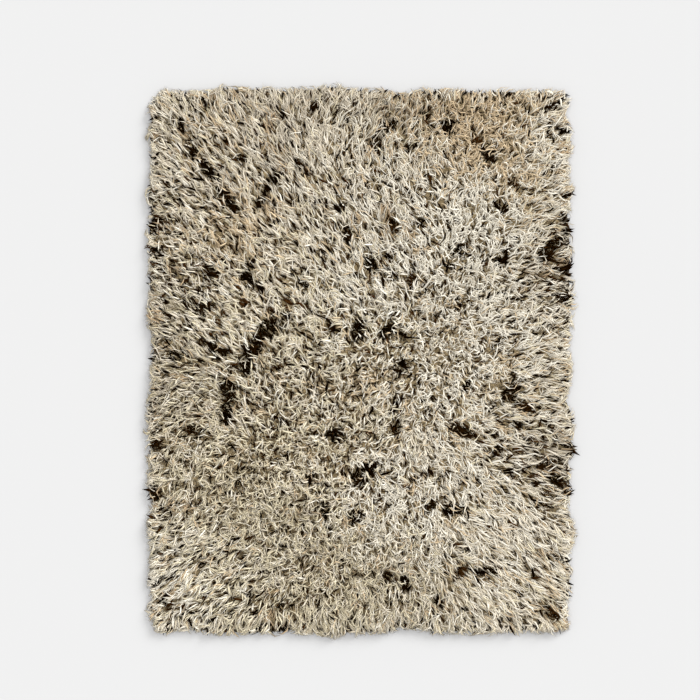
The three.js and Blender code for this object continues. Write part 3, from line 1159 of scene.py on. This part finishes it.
def plant(name, lock, spine, width, roll, tone):
    """Many copies of a lock as one mesh, each bent along its own line."""
    rings, points, faces, chart = lock
    ring = np.abs(points[:, 2:] - rings).argmin(1)
    along = np.gradient(spine, axis=1)
    along /= np.linalg.norm(along, axis=-1, keepdims=True)
    side = np.cross(along, (0, 0, 1))
    side /= np.maximum(np.linalg.norm(side, axis=-1, keepdims=True), TINY)
    over = np.cross(side, along)
    cosine, sine = np.cos(roll)[:, None, None], np.sin(roll)[:, None, None]
    side, over = side * cosine + over * sine, over * cosine - side * sine
    shape = points[None, :, :2] * width[:, None, None] * (1, LOCK_FLATNESS)
    placed = spine[:, ring] + side[:, ring] * shape[..., :1] + over[:, ring] * shape[..., 1:]
    placed[..., 2] = np.maximum(placed[..., 2], CLEARANCE)
    each = np.arange(len(spine))[:, None, None]
    column = np.floor(tone * (TONES - 1e-3))[:, None, None]
    across = (column + COLUMN_MARGIN + (1 - 2 * COLUMN_MARGIN) * chart[..., 0]) / TONES
    upward = np.broadcast_to(END_MARGIN + (1 - 2 * END_MARGIN) * chart[..., 1], across.shape)

    mesh = bpy.data.meshes.new(name)
    mesh.from_pydata(placed.reshape(-1, 3), [], (faces + each * len(points)).reshape(-1, 3))
    yarn_map = mesh.uv_layers.new(name=YARN_MAP)
    yarn_map.data.foreach_set("uv", np.stack([across, upward], -1).ravel())
    smooth(mesh)
    piece = bpy.data.objects.new(name, mesh)
    bpy.context.scene.collection.objects.link(piece)
    return piece


def copy_solid(name):
    """A clean copy of the rug's solid, selected and open for editing."""
    piece = bpy.data.objects.new(name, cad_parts[RUG].data.copy())
    bpy.context.scene.collection.objects.link(piece)
    bpy.ops.object.select_all(action="DESELECT")
    bpy.context.view_layer.objects.active = piece
    piece.select_set(True)
    bpy.ops.object.mode_set(mode="EDIT")
    bpy.ops.mesh.select_all(action="SELECT")
    bpy.ops.mesh.remove_doubles(threshold=TOUCHING)
    return piece


def narrowed(inset):
    """The scale across and along that draws the rug's solid in by inset at each side."""
    return [1 - 2 * inset / side for side in SIZE.xy]


def dress(piece, material):
    """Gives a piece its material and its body."""
    piece.data.materials.clear()
    piece.data.materials.append(material)
    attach(piece, "root")


class RUG_OT_weave_ground(bpy.types.Operator):
    """Cuts the woven ground from the rug's outline and ribs its underside"""

    bl_idname = "rug.weave_ground"
    bl_label = "Weave Ground"

    def execute(self, context):
        ground = context.scene.rug_ground
        piece = copy_solid("rug_ground")
        bpy.ops.mesh.bisect(
            plane_co=(0, 0, ground.thickness), plane_no=(0, 0, 1), use_fill=True, clear_outer=True
        )
        bpy.ops.mesh.select_all(action="SELECT")
        scale = narrowed(ground.overhang)
        bpy.ops.transform.resize(value=(*scale, 1), center_override=(0, 0, 0))
        bpy.ops.mesh.dissolve_limited(angle_limit=math.radians(1))
        end = SIZE.y * scale[1] / 2
        lines = np.arange(-end, end, ground.rib_pitch / 2)[1:]
        for y in lines:
            bpy.ops.mesh.select_all(action="SELECT")
            bpy.ops.mesh.bisect(plane_co=(0, y, 0), plane_no=(0, 1, 0))
        bpy.ops.object.mode_set(mode="OBJECT")
        hollows = lines[::2]
        for vertex in piece.data.vertices:
            in_hollow = np.abs(hollows - vertex.co.y).min() < TOUCHING
            if in_hollow and vertex.co.z < TOUCHING:
                vertex.co.z = ground.rib_depth
        dress(piece, weave_finish(ground))
        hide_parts(RUG)
        return {"FINISHED"}


# The matted wool: how far in it is drawn, in overhangs, its underside and the dips in its top.
FELT_INSET = 0.7
FELT_FLOOR = 0.002
FELT_DIP = 0.004
FELT_PATCH = 0.03
FELT_LOWEST = 0.004


class RUG_OT_felt_pile(bpy.types.Operator):
    """Lowers the rug's solid to the matted wool low in the pile"""

    bl_idname = "rug.felt_pile"
    bl_label = "Felt Pile"

    def execute(self, context):
        pile, ground = context.scene.rug_pile, context.scene.rug_ground
        piece = copy_solid("pile_felt")
        bpy.ops.mesh.subdivide(number_cuts=1)
        scale = (*narrowed(FELT_INSET * ground.overhang), pile.felt_height)
        bpy.ops.transform.resize(value=scale, center_override=(0, 0, 0))
        bpy.ops.mesh.bisect(
            plane_co=(0, 0, FELT_FLOOR), plane_no=(0, 0, 1), use_fill=True, clear_inner=True
        )
        bpy.ops.object.mode_set(mode="OBJECT")
        chance = np.random.default_rng(pile.seed)
        places = np.array([vertex.co for vertex in piece.data.vertices])
        sunk = places[:, 2] - FELT_DIP * patchy(places[:, :2], FELT_PATCH, chance)
        sunk = np.maximum(sunk, FELT_LOWEST)
        places[:, 2] = np.where(places[:, 2] > FELT_LOWEST, sunk, places[:, 2])
        piece.data.vertices.foreach_set("co", places.ravel())
        smooth(piece.data)
        dress(piece, felt_finish(pile))
        return {"FINISHED"}


# Shares of the lock width, and how the border, a standing lie and a stop at a gap change a lock:
# border locks are narrower and get painted shade, standing locks get painted light against the
# shade they cast on each other, and locks stopped at a gap get painted shade at its rim.
WIDTH_SPREAD = (-0.2, 0.38)
WIDTHS = (0.3, 1.5)
BORDER_NARROWER = 0.12
BORDER_PAINTED_SHADE = 0.38
STANDING_PAINTED_LIGHT = 0.2
STOPPED_PAINTED_SHADE = 0.2


class RUG_OT_knot_pile(bpy.types.Operator):
    """Models a long and a short lock of wool and knots thousands of copies into the ground"""

    bl_idname = "rug.knot_pile"
    bl_label = "Knot Pile"

    def execute(self, context):
        pile, ground = context.scene.rug_pile, context.scene.rug_ground
        chance = np.random.default_rng(pile.seed)
        outline = Outline(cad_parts[RUG])
        knots = tie_knots(pile, ground, outline, chance)
        lay = comb_locks(pile, outline, knots, chance)
        spine = bend_locks(pile, knots, lay, chance)
        wave_locks(pile, lay, spine, chance)
        drape_border(pile, ground, outline, lay, spine, chance)
        yarn, tone = choose_yarns(pile, lay, spine, chance)
        border = np.clip(1 - lay.depth / pile.painted_shade_band, 0, 1)
        width = np.clip(chance.lognormal(*WIDTH_SPREAD, len(spine)), *WIDTHS)
        width *= pile.lock_width * (1 - BORDER_NARROWER * border)
        gaps = open_gaps(pile, outline, chance)
        spine, stopped = stop_at_gaps(pile, GapMap(outline, gaps), spine, chance)
        # Painted light on standing locks, painted shade on locks stopped at a gap and on the border's
        # locks.
        tone += STANDING_PAINTED_LIGHT * np.clip(1 - lay.lie, 0, 1) - STOPPED_PAINTED_SHADE * stopped
        tone = np.clip(tone - BORDER_PAINTED_SHADE * border, 0, 1)
        roll = chance.normal(0, LOCK_ROLL, len(spine))

        lock = model_lock(LOCK_RINGS)
        most = MOST_TRIANGLES // len(lock.faces)
        for index, name in enumerate(YARN_NAMES):
            finish = wool_finish(pile, YARNS[index])
            mine = np.flatnonzero(yarn == index)
            parts = np.array_split(mine, math.ceil(len(mine) / most))
            for number, some in enumerate(parts, 1):
                piece_name = f"pile_{name}_{number}"
                piece = plant(piece_name, lock, spine[some], width[some], roll[some], tone[some])
                dress(piece, finish)
        # Dark locks in the gaps: dark wool in the flecks, dark wool and painted shade in the loose
        # gaps.
        spine, width, tone = fill_gaps(pile, gaps, chance)
        roll = chance.normal(0, LOCK_ROLL, len(spine))
        piece = plant("pile_gaps", model_lock(SHORT_RINGS), spine, width, roll, tone)
        dress(piece, bpy.data.materials["dark_wool"])

        flat = [2 * reach - 2 * ground.overhang for reach in outline.reach]
        return {"FINISHED"}


class RUG_OT_set_stage(bpy.types.Operator):
    """Lays the floor, hangs the lights and points the camera straight down"""

    bl_idname = "rug.set_stage"
    bl_label = "Set Stage"
    floor_radius = 30

    def execute(self, context):
        stage = context.scene.rug_stage
        self.lay_floor(context, stage)
        world = bpy.data.worlds.new("studio")
        world.use_nodes = True
        background = world.node_tree.nodes["Background"]
        background.inputs["Color"].default_value = (1, 1, 1, 1)
        background.inputs["Strength"].default_value = stage.sky
        context.scene.world = world
        quarter = math.pi / 2
        turn = (quarter - stage.sun_height, 0, stage.sun_side + quarter)
        self.hang_light(context, stage.sun, stage.sun_size, turn)
        self.hang_light(context, stage.overhead, stage.overhead_size, (0, 0, 0))

        distance = stage.view_width * stage.lens / stage.sensor
        place = (stage.view_x, stage.view_y, distance)
        bpy.ops.object.camera_add(location=place, rotation=(0, 0, 0))
        camera = context.active_object
        camera.data.lens = stage.lens
        camera.data.sensor_width = stage.sensor
        context.scene.camera = camera
        context.scene.view_settings.view_transform = "Standard"
        return {"FINISHED"}

    def lay_floor(self, context, stage):
        """A wide plain disc under the rug."""
        bpy.ops.object.select_all(action="DESELECT")
        bpy.ops.mesh.primitive_circle_add(vertices=64, radius=self.floor_radius, fill_type="NGON")
        floor = context.active_object
        floor.name = "floor"
        finish = Finish("plain_floor")
        matt = finish.surface(base_color=rgba(stage.floor), roughness=0.9, specular_ior_level=0.0)
        floor.data.materials.append(matt)

    def hang_light(self, context, strength, width, turn):
        """A far light of a given angular width."""
        bpy.ops.object.light_add(type="SUN")
        light = context.active_object
        light.rotation_euler = turn
        light.data.energy = strength
        light.data.angle = width


class RUG_PT_sidebar(bpy.types.Panel):
    """The rug's steps, in the order in which they are run"""

    bl_idname = "RUG_PT_sidebar"
    bl_label = "Wool Shag Rug"
    bl_space_type = "VIEW_3D"
    bl_region_type = "UI"
    bl_category = "Rug"

    def draw(self, context):
        for step in STEPS:
            self.layout.operator(step.bl_idname)


STEPS = (RUG_OT_set_stage, RUG_OT_weave_ground, RUG_OT_felt_pile, RUG_OT_knot_pile)
SETTINGS = {"rug_ground": RUG_PG_ground, "rug_pile": RUG_PG_pile, "rug_stage": RUG_PG_stage}
CLASSES = (*SETTINGS.values(), *STEPS, RUG_PT_sidebar)


def register():
    for made in CLASSES:
        bpy.utils.register_class(made)
    for name, group in SETTINGS.items():
        setattr(bpy.types.Scene, name, PointerProperty(type=group))


def unregister():
    for name in SETTINGS:
        delattr(bpy.types.Scene, name)
    for made in reversed(CLASSES):
        bpy.utils.unregister_class(made)


def main():
    register()
    bpy.ops.rug.set_stage()
    bpy.ops.rug.weave_ground()
    bpy.ops.rug.felt_pile()
    bpy.ops.rug.knot_pile()


if __name__ == "__main__":
    main()
